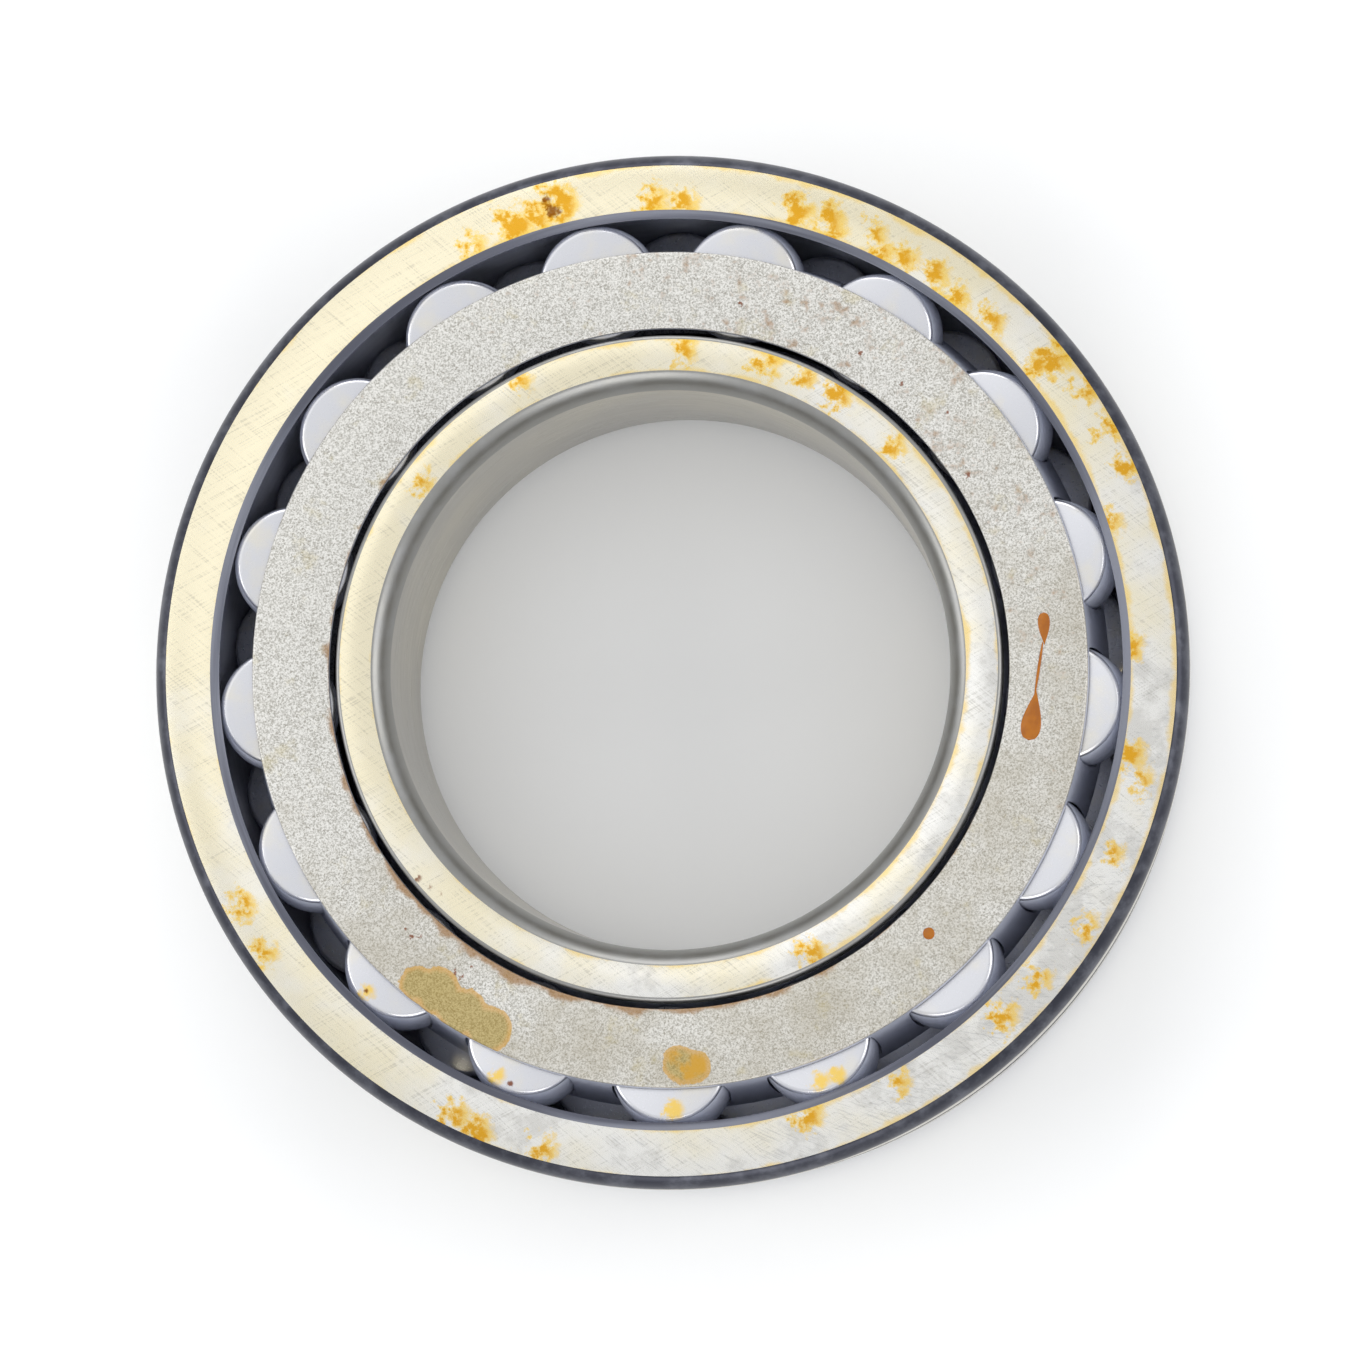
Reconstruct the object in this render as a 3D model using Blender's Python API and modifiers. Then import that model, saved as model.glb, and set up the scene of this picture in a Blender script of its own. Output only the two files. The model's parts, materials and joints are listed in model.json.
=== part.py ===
"""Double-row spherical roller bearing with two pressed-steel window cages.

The shaft sits in the inner ring. Two rows of barrel rollers run between the inner ring's two
raceways and the one spherical raceway of the outer ring, so the shaft can tilt a little in its
housing. Metres, +Z along the shaft's axis, origin at the bearing's centre.

In a row's own plane, "rise" is measured out along the contact line, from the roller's middle
away from the shaft, and "along" is measured along the roller's axis, towards the ring's face.
"""

import math

import bmesh
import bpy
from mathutils import Matrix

MM = 0.001

# Driving sizes: the radial stack from the bore outwards, and the width
BORE_DIAMETER = 65.0 * MM
INNER_RING_WALL = 7.4 * MM  # from the bore to the middle of a raceway, along the contact line
ROLLER_DIAMETER = 13.9 * MM
OUTER_RING_WALL = 5.7 * MM
WIDTH = 31.0 * MM

# Fits
RUNNING_CLEARANCE = 0.25 * MM  # roller to raceway
POCKET_CLEARANCE = 0.3 * MM  # roller to its cage pocket
END_CLEARANCE = 0.25 * MM  # roller's end to the guide ring
GUIDE_CLEARANCE = 0.3 * MM  # guide ring to the inner ring's rib

# Rows of rollers
ROLLERS_PER_ROW = 17
FIRST_ROLLER_ANGLE = -math.pi / 2
ROLLER_INSET = 2.08 * MM  # from a ring's face in to a roller's outer end, on the roller's axis
ROW_GAP = 4.36 * MM  # between the inner ends of the two rows, on the rollers' axes
ROLLER_CORNER = 0.6 * MM
CROWN_RELIEF = 1.3 * MM  # how much tighter a roller's barrel curve is than the raceway

# Outer ring
OUTER_CORNER_RADIAL = 1.6 * MM
OUTER_CORNER_AXIAL = 2.7 * MM
RACEWAY_CHAMFER = 0.9 * MM
OIL_GROOVE_FLOOR = 3.7 * MM  # width at the bottom; its sides slope out at 45 degrees
OIL_GROOVE_DEPTH = 0.9 * MM
OIL_HOLES = 3
OIL_HOLE_DIAMETER = 3.0 * MM

# Inner ring
BORE_CORNER_RADIAL = 1.9 * MM
BORE_CORNER_AXIAL = 3.5 * MM
RACEWAY_RUNOUT = 0.2 * MM  # how far a raceway runs on past each end of its rollers
SHOULDER_DROP = 0.15 * MM  # from a raceway's outer end down to the plain shoulder
SHOULDER_EDGE = 0.3 * MM

# Cages
CAGE_SHEET = 1.0 * MM
CAGE_RISE = 2.05 * MM  # from a roller's axis out to the inside of the cage's wall
CAGE_BEND = 0.3 * MM  # outside radius of the bend between the flange and the wall
CAGE_END_GAP = 0.4 * MM  # roller's end to the underside of the flange
CAGE_BORE_GAP = 0.8 * MM  # inner ring's shoulder to the flange's inner edge
CAGE_SPLIT = 0.6 * MM  # between the rims of the two cages

# Guide ring
GUIDE_RIM_GAP = 1.5 * MM  # guide ring to the inside of the cages' rims

# Fineness of the round shapes
RING_SEGMENTS = 4 * ROLLERS_PER_ROW
CAGE_SEGMENTS = 3 * ROLLERS_PER_ROW
ROLLER_SEGMENTS = 16
HOLE_SEGMENTS = 12
CORNER_STEPS = 2
OUTER_RACEWAY_STEPS = 8
INNER_RACEWAY_STEPS = 4
CROWN_STEPS = 2
SHARP_ANGLE = math.radians(30)
MERGE_DISTANCE = 0.001 * MM
DRILL_MARGIN = 1.0 * MM

# Worked out from the sizes above
ROLLER_RADIUS = ROLLER_DIAMETER / 2
ROLLER_REACH = BORE_DIAMETER / 2 + INNER_RING_WALL + RUNNING_CLEARANCE + ROLLER_RADIUS
RACEWAY_RADIUS = ROLLER_REACH + ROLLER_RADIUS + RUNNING_CLEARANCE
OUTER_RADIUS = RACEWAY_RADIUS + OUTER_RING_WALL  # 60 mm
OUTER_END_HEIGHT = WIDTH / 2 - ROLLER_INSET
INNER_END_HEIGHT = ROW_GAP / 2
ROW_HEIGHT = (OUTER_END_HEIGHT + INNER_END_HEIGHT) / 2
CONTACT_ANGLE = math.asin(ROW_HEIGHT / ROLLER_REACH)
LEAN_SIN = math.sin(CONTACT_ANGLE)
LEAN_COS = math.cos(CONTACT_ANGLE)
PITCH_RADIUS = ROLLER_REACH * LEAN_COS
ROLLER_LENGTH = (OUTER_END_HEIGHT - INNER_END_HEIGHT) / LEAN_COS
CROWN_RADIUS = RACEWAY_RADIUS - CROWN_RELIEF
PITCH_ANGLE = 2 * math.pi / ROLLERS_PER_ROW


def row_point(rise, along):
    """The (radius, height) of a point in the front row's own plane."""
    radius = PITCH_RADIUS + rise * LEAN_COS - along * LEAN_SIN
    height = ROW_HEIGHT + rise * LEAN_SIN + along * LEAN_COS
    return radius, height


def end_plane_height(radius, along):
    """The height, at a radius, of the plane square to a roller's axis at a place along it."""
    rise = (radius - PITCH_RADIUS + along * LEAN_SIN) / LEAN_COS
    return row_point(rise, along)[1]


def wall_point(rise, height):
    """The (radius, height) at which a wall parallel to the rollers' axes has a height."""
    along = (height - ROW_HEIGHT - rise * LEAN_SIN) / LEAN_COS
    return row_point(rise, along)


def crown_drop(along, curve):
    """How far a barrel's curve falls away from its middle."""
    return curve - math.sqrt(curve**2 - along**2)


def spaced(start, end, steps):
    """Evenly spaced values from start to end."""
    return [start + (end - start) * i / steps for i in range(steps + 1)]


def rounded_corner(radius, height, radial, axial):
    """A corner's points from a face to a cylinder; its signed sizes point into the metal."""
    return [
        (radius + radial * (1 - math.sin(turn)), height + axial * (1 - math.cos(turn)))
        for turn in spaced(0, math.pi / 2, CORNER_STEPS)
    ]


def below(outline):
    """The same points on the other side of the middle plane."""
    return [(radius, -height) for radius, height in outline]


def material(name, colour, roughness, metallic=1.0):
    """A plain Principled material."""
    made = bpy.data.materials.new(name)
    made.use_nodes = True
    shader = made.node_tree.nodes["Principled BSDF"]
    shader.inputs["Base Color"].default_value = (*colour, 1.0)
    shader.inputs["Roughness"].default_value = roughness
    shader.inputs["Metallic"].default_value = metallic
    made.diffuse_color = (*colour, 1.0)
    return made


def evaluated_mesh(obj):
    """A plain mesh of what an object's modifiers make."""
    bpy.context.view_layer.update()
    graph = bpy.context.evaluated_depsgraph_get()
    return bpy.data.meshes.new_from_object(obj.evaluated_get(graph))


def settled(obj):
    """Turn an object's modifiers into its mesh, shaded smooth with its real edges crisp."""
    mesh = evaluated_mesh(obj)
    obj.modifiers.clear()
    obj.data = mesh
    mesh.shade_smooth()
    mesh.set_sharp_from_angle(angle=SHARP_ANGLE)
    return obj


def turned(name, outline, segments, collection, closed=True):
    """Turn an outline of (radius, height) points, which runs down its outer side, round Z."""
    count = len(outline)
    edges = [(i, (i + 1) % count) for i in range(count if closed else count - 1)]
    mesh = bpy.data.meshes.new(name)
    mesh.from_pydata([(radius, 0, height) for radius, height in outline], edges, [])
    obj = bpy.data.objects.new(name, mesh)
    collection.objects.link(obj)
    screw = obj.modifiers.new("Turn", "SCREW")
    screw.axis = "Z"
    screw.steps = segments
    screw.render_steps = segments
    screw.use_merge_vertices = True
    screw.merge_threshold = MERGE_DISTANCE
    return obj


def repeated_cutter(name, mesh, places, cutters):
    """One cutter that repeats a closed mesh at each place."""
    shape = bmesh.new()
    for place in places:
        copy = mesh.copy()
        copy.transform(place)
        shape.from_mesh(copy)
        bpy.data.meshes.remove(copy)
    whole = bpy.data.meshes.new(name)
    shape.to_mesh(whole)
    shape.free()
    obj = bpy.data.objects.new(name, whole)
    cutters.objects.link(obj)
    obj.hide_render = True
    obj.display_type = "WIRE"
    return obj


def cut(obj, cutter):
    """Take a cutter's shape out of an object."""
    boolean = obj.modifiers.new("Cut", "BOOLEAN")
    boolean.operation = "DIFFERENCE"
    boolean.solver = "EXACT"
    boolean.object = cutter


def outer_ring(parts, cutters, steel):
    """The outer ring: one spherical raceway inside, an oil groove and oil holes outside."""
    top = WIDTH / 2
    corner = rounded_corner(OUTER_RADIUS, top, -OUTER_CORNER_RADIAL, -OUTER_CORNER_AXIAL)
    groove = [
        (OUTER_RADIUS, OIL_GROOVE_FLOOR / 2 + OIL_GROOVE_DEPTH),
        (OUTER_RADIUS - OIL_GROOVE_DEPTH, OIL_GROOVE_FLOOR / 2),
    ]
    outside = corner + groove
    edge_angle = math.asin((top - RACEWAY_CHAMFER) / RACEWAY_RADIUS)
    raceway = [
        (RACEWAY_RADIUS * math.cos(turn), RACEWAY_RADIUS * math.sin(turn))
        for turn in spaced(-edge_angle, edge_angle, OUTER_RACEWAY_STEPS)
    ]
    face_edge = raceway[0][0] + RACEWAY_CHAMFER
    inside = [(face_edge, -top), *raceway, (face_edge, top)]
    outline = [*outside, *reversed(below(outside)), *inside]
    ring = turned("outer_ring", outline, RING_SEGMENTS, parts)
    ring.data.materials.append(steel)
    cut(ring, oil_hole_cutter(cutters))
    return settled(ring)


def oil_hole_cutter(cutters):
    """Radial drills through the floor of the oil groove."""
    drill = bmesh.new()
    bmesh.ops.create_cone(
        drill,
        cap_ends=True,
        segments=HOLE_SEGMENTS,
        radius1=OIL_HOLE_DIAMETER / 2,
        radius2=OIL_HOLE_DIAMETER / 2,
        depth=OUTER_RING_WALL + 2 * DRILL_MARGIN,
    )
    mesh = bpy.data.meshes.new("oil_drill")
    drill.to_mesh(mesh)
    drill.free()
    middle = Matrix.Translation((OUTER_RADIUS - OUTER_RING_WALL / 2, 0, 0))
    outwards = Matrix.Rotation(math.pi / 2, 4, "Y")
    places = [
        Matrix.Rotation(index * 2 * math.pi / OIL_HOLES, 4, "Z") @ middle @ outwards
        for index in range(OIL_HOLES)
    ]
    return repeated_cutter("oil_hole_cutter", mesh, places, cutters)


def inner_raceway():
    """The inner ring's front raceway, from its outer end to the rib, hugging the rollers."""
    end = ROLLER_LENGTH / 2 + RACEWAY_RUNOUT
    curve = CROWN_RADIUS + RUNNING_CLEARANCE
    middle = -ROLLER_RADIUS - RUNNING_CLEARANCE
    return [
        row_point(middle + crown_drop(along, curve), along)
        for along in spaced(end, -end, INNER_RACEWAY_STEPS)
    ]


def shoulder_radius():
    """The inner ring's plain shoulder, just below the outer end of its raceway."""
    return inner_raceway()[0][0] - SHOULDER_DROP


def rib_radius():
    """The rib between the inner ring's raceways, as high as their inner ends."""
    return inner_raceway()[-1][0]


def inner_ring(parts, steel):
    """The inner ring: plain bore, two raceways and a low rib between them."""
    top = WIDTH / 2
    shoulder = shoulder_radius()
    raceway = inner_raceway()
    outside = [
        (shoulder - SHOULDER_EDGE, top),
        (shoulder, top - SHOULDER_EDGE),
        (shoulder, raceway[0][1] + SHOULDER_DROP),
        *raceway,
    ]
    corner = rounded_corner(BORE_DIAMETER / 2, top, BORE_CORNER_RADIAL, -BORE_CORNER_AXIAL)
    outline = [*outside, *reversed(below(outside)), *below(corner), *reversed(corner)]
    ring = turned("inner_ring", outline, RING_SEGMENTS, parts)
    ring.data.materials.append(steel)
    return settled(ring)


def guide_ring(parts, iron):
    """The loose wedge-shaped ring on the rib, which keeps the rollers of both rows straight."""
    inside = rib_radius() + GUIDE_CLEARANCE
    outside = wall_point(CAGE_RISE, CAGE_SPLIT / 2)[0] - GUIDE_RIM_GAP
    side = [
        (radius, end_plane_height(radius, -ROLLER_LENGTH / 2) - END_CLEARANCE)
        for radius in (outside, inside)
    ]
    outline = [side[0], *below(side), side[1]]
    ring = turned("guide_ring", outline, RING_SEGMENTS, parts)
    ring.data.materials.append(iron)
    return settled(ring)


def roller_outline(growth=0.0):
    """A barrel roller's outline about its own axis, grown all round for its pocket."""
    half = ROLLER_LENGTH / 2 + growth
    side = ROLLER_RADIUS + growth
    barrel = [
        (side - crown_drop(along, CROWN_RADIUS), along)
        for along in spaced(half - ROLLER_CORNER, ROLLER_CORNER - half, CROWN_STEPS)
    ]
    flat = barrel[0][0] - ROLLER_CORNER
    return [(0, half), (flat, half), *barrel, (flat, -half), (0, -half)]


def roller_place(index):
    """The matrix from a roller's own axis to its place in its cage."""
    around = Matrix.Rotation(FIRST_ROLLER_ANGLE + index * PITCH_ANGLE, 4, "Z")
    out = Matrix.Translation((PITCH_RADIUS, 0, ROW_HEIGHT))
    lean = Matrix.Rotation(-CONTACT_ANGLE, 4, "Y")
    return around @ out @ lean


def back_place():
    """The back row is the front row turned over, and half a pitch round from it."""
    stagger = Matrix.Rotation(2 * FIRST_ROLLER_ANGLE + PITCH_ANGLE / 2, 4, "Z")
    return stagger @ Matrix.Rotation(math.pi, 4, "X")


def cage_outline():
    """A pressed cage: a flat flange over the roller ends, bent down into a leaning wall."""
    inner_rise = CAGE_RISE
    outer_rise = CAGE_RISE + CAGE_SHEET
    underside = row_point(outer_rise, ROLLER_LENGTH / 2 + CAGE_END_GAP)[1]
    top = underside + CAGE_SHEET
    rim = CAGE_SPLIT / 2
    bore = shoulder_radius() + CAGE_BORE_GAP
    bend_radius = wall_point(outer_rise, top - CAGE_BEND)[0]
    return [
        *rounded_corner(bend_radius, top, -CAGE_BEND, -CAGE_BEND),
        wall_point(outer_rise, rim),
        wall_point(inner_rise, rim),
        wall_point(inner_rise, underside),
        (bore, underside),
        (bore, top),
    ]


def pocket_cutter(cutters):
    """A grown roller at each roller's place, which opens the cage's windows."""
    pocket = turned("pocket", roller_outline(POCKET_CLEARANCE), ROLLER_SEGMENTS, cutters, False)
    mesh = evaluated_mesh(pocket)
    bpy.data.objects.remove(pocket)
    places = [roller_place(index) for index in range(ROLLERS_PER_ROW)]
    return repeated_cutter("pocket_cutter", mesh, places, cutters)


def cages(parts, cutters, steel):
    """The two cages, which are the same pressing, one of them turned over."""
    front = turned("cage_front", cage_outline(), CAGE_SEGMENTS, parts)
    front.data.materials.append(steel)
    cut(front, pocket_cutter(cutters))
    settled(front)
    back = bpy.data.objects.new("cage_back", front.data)
    parts.objects.link(back)
    back.matrix_basis = back_place()
    return front, back


def rollers(parts, row, cage, steel):
    """One row of rollers, each on its own axis and held by its cage."""
    first = turned(f"roller_{row}_01", roller_outline(), ROLLER_SEGMENTS, parts, False)
    first.data.materials.append(steel)
    settled(first)
    made = [first]
    for number in range(2, ROLLERS_PER_ROW + 1):
        roller = bpy.data.objects.new(f"roller_{row}_{number:02d}", first.data)
        parts.objects.link(roller)
        made.append(roller)
    for index, roller in enumerate(made):
        roller.parent = cage
        roller.matrix_basis = roller_place(index)


def main():
    for obj in list(bpy.data.objects):
        bpy.data.objects.remove(obj, do_unlink=True)
    scene = bpy.context.scene
    parts = bpy.data.collections.new("spherical_roller_bearing")
    cutters = bpy.data.collections.new("cutters")
    scene.collection.children.link(parts)
    scene.collection.children.link(cutters)

    ring_steel = material("ground_ring_steel", (0.60, 0.59, 0.55), 0.3)
    roller_steel = material("lapped_roller_steel", (0.78, 0.77, 0.73), 0.2)
    cage_steel = material("phosphated_cage_steel", (0.42, 0.41, 0.36), 0.6, 0.8)
    guide_iron = material("guide_ring_iron", (0.28, 0.27, 0.25), 0.5, 0.9)

    tilting = bpy.data.objects.new("tilt_centre", None)
    parts.objects.link(tilting)
    outer_ring(parts, cutters, ring_steel)
    front, back = cages(parts, cutters, cage_steel)
    for piece in (inner_ring(parts, ring_steel), guide_ring(parts, guide_iron), front, back):
        piece.parent = tilting
    rollers(parts, "front", front, roller_steel)
    rollers(parts, "back", back, roller_steel)


main()
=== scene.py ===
"""The visible surfaces of a double-row spherical roller bearing, built round its CAD frame.

Sizes are in metres. A turned piece is drawn as a closed outline of (radius, height) points and
spun round the shaft's axis, which is Z.
"""

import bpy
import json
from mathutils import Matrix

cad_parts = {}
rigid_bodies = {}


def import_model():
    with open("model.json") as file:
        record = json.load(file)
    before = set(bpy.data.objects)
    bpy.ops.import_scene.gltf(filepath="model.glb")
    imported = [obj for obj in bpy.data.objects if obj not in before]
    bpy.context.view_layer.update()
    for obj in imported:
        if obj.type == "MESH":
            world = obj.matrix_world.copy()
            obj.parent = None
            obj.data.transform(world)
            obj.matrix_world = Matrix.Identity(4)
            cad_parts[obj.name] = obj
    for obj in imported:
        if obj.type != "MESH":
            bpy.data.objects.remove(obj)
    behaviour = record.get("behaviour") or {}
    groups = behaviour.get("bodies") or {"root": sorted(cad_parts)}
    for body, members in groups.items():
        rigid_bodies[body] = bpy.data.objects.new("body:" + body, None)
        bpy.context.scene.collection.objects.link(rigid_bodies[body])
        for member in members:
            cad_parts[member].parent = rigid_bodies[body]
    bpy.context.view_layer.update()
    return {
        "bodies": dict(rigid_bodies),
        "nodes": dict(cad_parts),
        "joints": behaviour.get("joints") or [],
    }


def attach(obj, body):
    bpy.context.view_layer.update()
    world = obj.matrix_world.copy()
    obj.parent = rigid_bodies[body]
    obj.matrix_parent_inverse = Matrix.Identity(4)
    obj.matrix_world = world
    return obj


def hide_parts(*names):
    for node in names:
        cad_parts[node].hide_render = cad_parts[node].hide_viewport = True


bl_info = {
    "name": "Spherical roller bearing",
    "version": (1, 0, 0),
    "blender": (4, 5, 0),
    "location": "View3D > Sidebar > Bearing",
    "description": "Models the rings, cages, rollers and oil marks of a spherical roller bearing",
    "category": "Add Mesh",
}

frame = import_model()

import json
import math

import bmesh
import bpy
from bpy.props import FloatProperty, FloatVectorProperty, IntProperty, PointerProperty
from bpy.types import Operator, Panel, PropertyGroup
from mathutils import Matrix, Vector

MM = 0.001
NEAR = 0.01 * MM  # closer than this counts as the same place
MERGE = 0.002 * MM  # points closer than this are one point
CRISP = math.radians(20)  # how steeply a corner breaks away from its face
AROUND = (30.0, 30.0, 1.0)  # stretches a pattern round a ring
DOWN = (1.0, 1.0, 12.0)  # stretches a pattern along the shaft


def reach(node):
    """The smallest and largest radius of a CAD node's points, and its highest point."""
    points = [v.co for v in frame["nodes"][node].data.vertices]
    radii = [point.xy.length for point in points]
    return min(radii), max(radii), max(point.z for point in points)


def roller_axis(body):
    """Where a roller's middle is, and the direction of its own axis."""
    joint = next(j for j in frame["joints"] if j["child"] == body)
    return Vector(joint["pos_m"]), Vector(joint["axis"]).normalized()


def row_bodies(row):
    """The bodies of one row of rollers, in order."""
    return sorted(name for name in frame["bodies"] if name.startswith(f"roller_{row}_"))


_, OUTER_RADIUS, HALF_WIDTH = reach("outer_ring")
BORE_RADIUS, _, _ = reach("inner_ring")
FLANGE_BORE, _, FLANGE_TOP = reach("cage_front")
GUIDE_BORE, GUIDE_RADIUS, GUIDE_HALF = reach("guide_ring")
ROLLER_MIDDLE, ROLLER_AXIS = roller_axis(row_bodies("front")[0])
PITCH_RADIUS = ROLLER_MIDDLE.xy.length
ROW_HEIGHT = ROLLER_MIDDLE.z
ROLLER_LEVEL = max(v.co.z for v in frame["nodes"]["roller_front_01"].data.vertices)
LEAN = math.acos(ROLLER_AXIS.z)


def linear(code):
    """An sRGB hex colour as linear red, green, blue and alpha."""
    channels = [int(code[i : i + 2], 16) / 255 for i in (1, 3, 5)]
    return (
        *(c / 12.92 if c <= 0.04045 else ((c + 0.055) / 1.055) ** 2.4 for c in channels),
        1.0,
    )


def length(name, description, default):
    """A size that a user can change."""
    return FloatProperty(name=name, description=description, default=default, unit="LENGTH")


def colour(name, description, code):
    """A colour that a user can change."""
    return FloatVectorProperty(
        name=name, description=description, default=linear(code), size=4, subtype="COLOR"
    )


class BearingRings(PropertyGroup):
    """Sizes of the two rings"""

    raceway: length("Raceway radius", "Radius of the outer ring's spherical raceway", 54.3 * MM)
    corner_radial: length("Outer corner, radial", "Width of the outer ring's corner", 1.6 * MM)
    corner_axial: length("Outer corner, axial", "Height of the outer ring's corner", 2.7 * MM)
    chamfer: length("Raceway chamfer", "Chamfer between face and raceway", 0.9 * MM)
    groove_floor: length("Oil groove floor", "Width of the oil groove's floor", 3.7 * MM)
    groove_depth: length("Oil groove depth", "Depth of the oil groove", 0.9 * MM)
    oil_hole: length("Oil hole", "Radius of the oil holes", 1.5 * MM)
    oil_holes: IntProperty(name="Oil holes", description="How many oil holes", default=3, min=1)
    bore_radial: length("Bore corner, radial", "Width of the bore's corner", 1.9 * MM)
    bore_axial: length("Bore corner, axial", "Height of the bore's corner", 3.5 * MM)
    shoulder: length("Shoulder radius", "Radius of the inner ring's shoulder", 38.55 * MM)
    segments: IntProperty(name="Segments", description="Steps round a ring", default=272, min=68)


class BearingRows(PropertyGroup):
    """Sizes of the rollers and their cages"""

    roller: length("Roller radius", "Radius at a roller's middle", 6.95 * MM)
    roller_length: length("Roller length", "Length of a roller", 11.4 * MM)
    crown: length("Crown radius", "Radius of a roller's barrel curve", 53.0 * MM)
    roller_corner: length("Roller corner", "Radius of a roller's corner", 0.6 * MM)
    sheet: length("Cage sheet", "Thickness of the cages' sheet", 1.0 * MM)
    rise: length("Cage rise", "From a roller's axis to the inside of the wall", 2.05 * MM)
    bend: length("Cage bend", "Outside radius of the bend under the flange", 0.3 * MM)
    rim: length("Cage rim", "From the middle plane to a cage's rim", 0.3 * MM)
    pocket: length("Pocket clearance", "Gap between a roller and its pocket", 0.3 * MM)
    clearance: length("Raceway clearance", "Gap between a roller and a raceway", 0.25 * MM)
    runout: length("Raceway runout", "How far a raceway runs past a roller's end", 0.2 * MM)


class BearingFinish(PropertyGroup):
    """Colours of the steels and the oil"""

    ground: colour("Ground steel", "Clean ground face", "#EEECE6")
    cream: colour("Oiled ground steel", "Ground face under a thin oil film", "#EFE5C6")
    gold: colour("Gold oil stain", "Dried preserving oil, thin", "#F5CC4A")
    amber: colour("Thick oil stain", "Where the oil has dried thick", "#E0A21A")
    rust: colour("Brown oil stain", "Dried preserving oil, thick", "#7C3C0C")
    rubbed: colour("Rubbed steel", "Where the film has been wiped off", "#C9C6BF")
    smudge: colour("Wiping strokes", "Grey smudges left by wiping", "#9FA0A0")
    seat: colour("Seat steel", "Ground bore and outside", "#B4B1AB")
    skin: colour("Hardened skin", "Corners left as hardened", "#3A3B43")
    worn_skin: colour("Worn skin", "Bore corners, rubbed paler", "#94938F")
    honed: colour("Honed steel", "Raceways", "#C2C5D0")
    # Painted light: the turned steel's grey, lightened to a mid grey to lift the chamfer out of the
    # shade in the gap
    chamfer: colour("Chamfer steel", "Turned edge of the outer raceway", "#585A65")
    roller: colour("Roller steel", "Lapped roller ends", "#DADADD")
    # Painted light: the ground steel's blue-grey, painted pale; it also colours both raceways and
    # lifts them and the barrels out of the shade in the gap
    barrel: colour("Barrel steel", "Ground sides of the rollers", "#DCDFEA")
    flange: colour("Cage flange", "Blasted and phosphated flange", "#E5E3DD")
    grain: colour("Flange grain", "Hollows of the blasted grain", "#989489")
    # Painted light: the wall's blue-grey, painted pale to lift it out of the shade between the
    # rollers
    wall: colour("Cage wall", "Phosphated wall between the rollers", "#BBBECA")
    soaked: colour("Soaked flange", "Where thin oil has spread", "#A39980")
    wet: colour("Wet patch", "Where oil has soaked the phosphate", "#BDAF7A")
    sunk: colour("Wet grain", "Hollows of the grain where it is wet", "#8A7D4C")
    pool: colour("Golden pool", "Where oil stands on the phosphate", "#CB9A2E")
    rim: colour("Edge of a wet patch", "Where soaked oil has dried thick", "#95651B")
    oil: colour("Preserving oil", "Standing drops of oil", "#A86206")
    iron: colour("Guide ring iron", "Turned sintered iron", "#8C8D95")


# Oil marks on the front faces, each a round spot (x, y, radius) in mm
OUTER_STAINS = (
    (-17.6, 51.6, 1.5), (-15.2, 52.4, 1.2), (-12.6, 54.2, 1.8), (-22.5, 49.3, 0.9),
    (-1.6, 54.4, 1.3), (2.2, 54.0, 0.9), (15.4, 52.8, 1.3), (19.0, 51.9, 1.2),
    (19.6, 50.3, 0.9), (24.2, 50.1, 0.9), (25.2, 47.6, 0.8), (28.0, 46.9, 0.9),
    (31.3, 45.2, 1.0), (33.6, 42.3, 1.0), (37.6, 39.6, 1.1), (42.6, 34.2, 1.0),
    (44.6, 34.6, 1.2), (51.0, 16.2, 0.9), (53.2, 2.0, 1.2), (53.1, -10.4, 1.3),
    (54.2, -13.4, 0.9), (51.2, -22.0, 0.7), (48.2, -30.0, 0.7), (42.6, -36.0, 0.9),
    (38.5, -40.3, 1.2), (26.6, -47.6, 0.9), (16.4, -51.4, 1.1), (-14.0, -55.5, 1.0),
    (-21.8, -53.6, 1.5), (-24.2, -51.4, 1.0), (-46.6, -33.0, 1.1), (-49.0, -27.4, 1.0),
    (45.7, 35.7, 0.8), (48.6, 31.6, 0.9), (51.2, 27.2, 0.9), (53.4, 22.7, 0.8),
)
OUTER_RUST = ((-14.1, 54.6, 0.5), (-13.5, 53.3, 0.7), (-12.6, 53.2, 0.4), (-22.3, -54.3, 0.5))
INNER_STAINS = (
    (12.0, 35.4, 1.0), (16.2, 33.6, 0.8), (20.0, 31.5, 1.2), (-17.0, 33.3, 0.8),
    (-28.2, 21.6, 0.6), (26.4, 25.2, 0.7), (2.0, 36.8, 1.0), (17.0, -33.2, 1.0),
)
INNER_RUST = ((-28.6, -24.2, 0.3), (-27.4, -25.4, 0.25), (-26.2, -26.2, 0.2))
# Oil soaked into the flange: wide olive pools, and a smaller golden one
OLIVE_POOLS = (
    (-28.8, -36.4, 2.1), (-26.4, -37.2, 2.6), (-23.6, -39.6, 2.9), (-20.6, -41.6, 2.8),
)
GOLD_POOLS = ((1.4, -45.4, 1.9), (3.2, -45.9, 1.9), (1.6, -46.4, 1.7))
FLANGE_FLECKS = (
    (-30.2, -30.2, 0.15), (-29.4, -31.0, 0.2), (-28.4, -30.8, 0.15), (-24.4, -35.0, 0.15),
    (-23.6, -35.6, 0.2), (-22.4, -34.6, 0.1), (8.6, 42.0, 0.2), (44.6, 21.2, 0.2),
    (22.4, 36.2, 0.3), (27.2, 32.6, 0.15), (32.4, 29.2, 0.2), (34.8, 21.8, 0.2),
)
ROLLER_STAINS = (
    (0.8, -50.8, 0.9), (17.6, -47.4, 0.9), (19.6, -46.9, 0.8),
    (-19.6, -46.9, 0.8), (-34.8, -37.3, 0.8),
)
ROLLER_RUST = ((-18.1, -47.9, 0.42), (-34.9, -37.2, 0.35))
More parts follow.
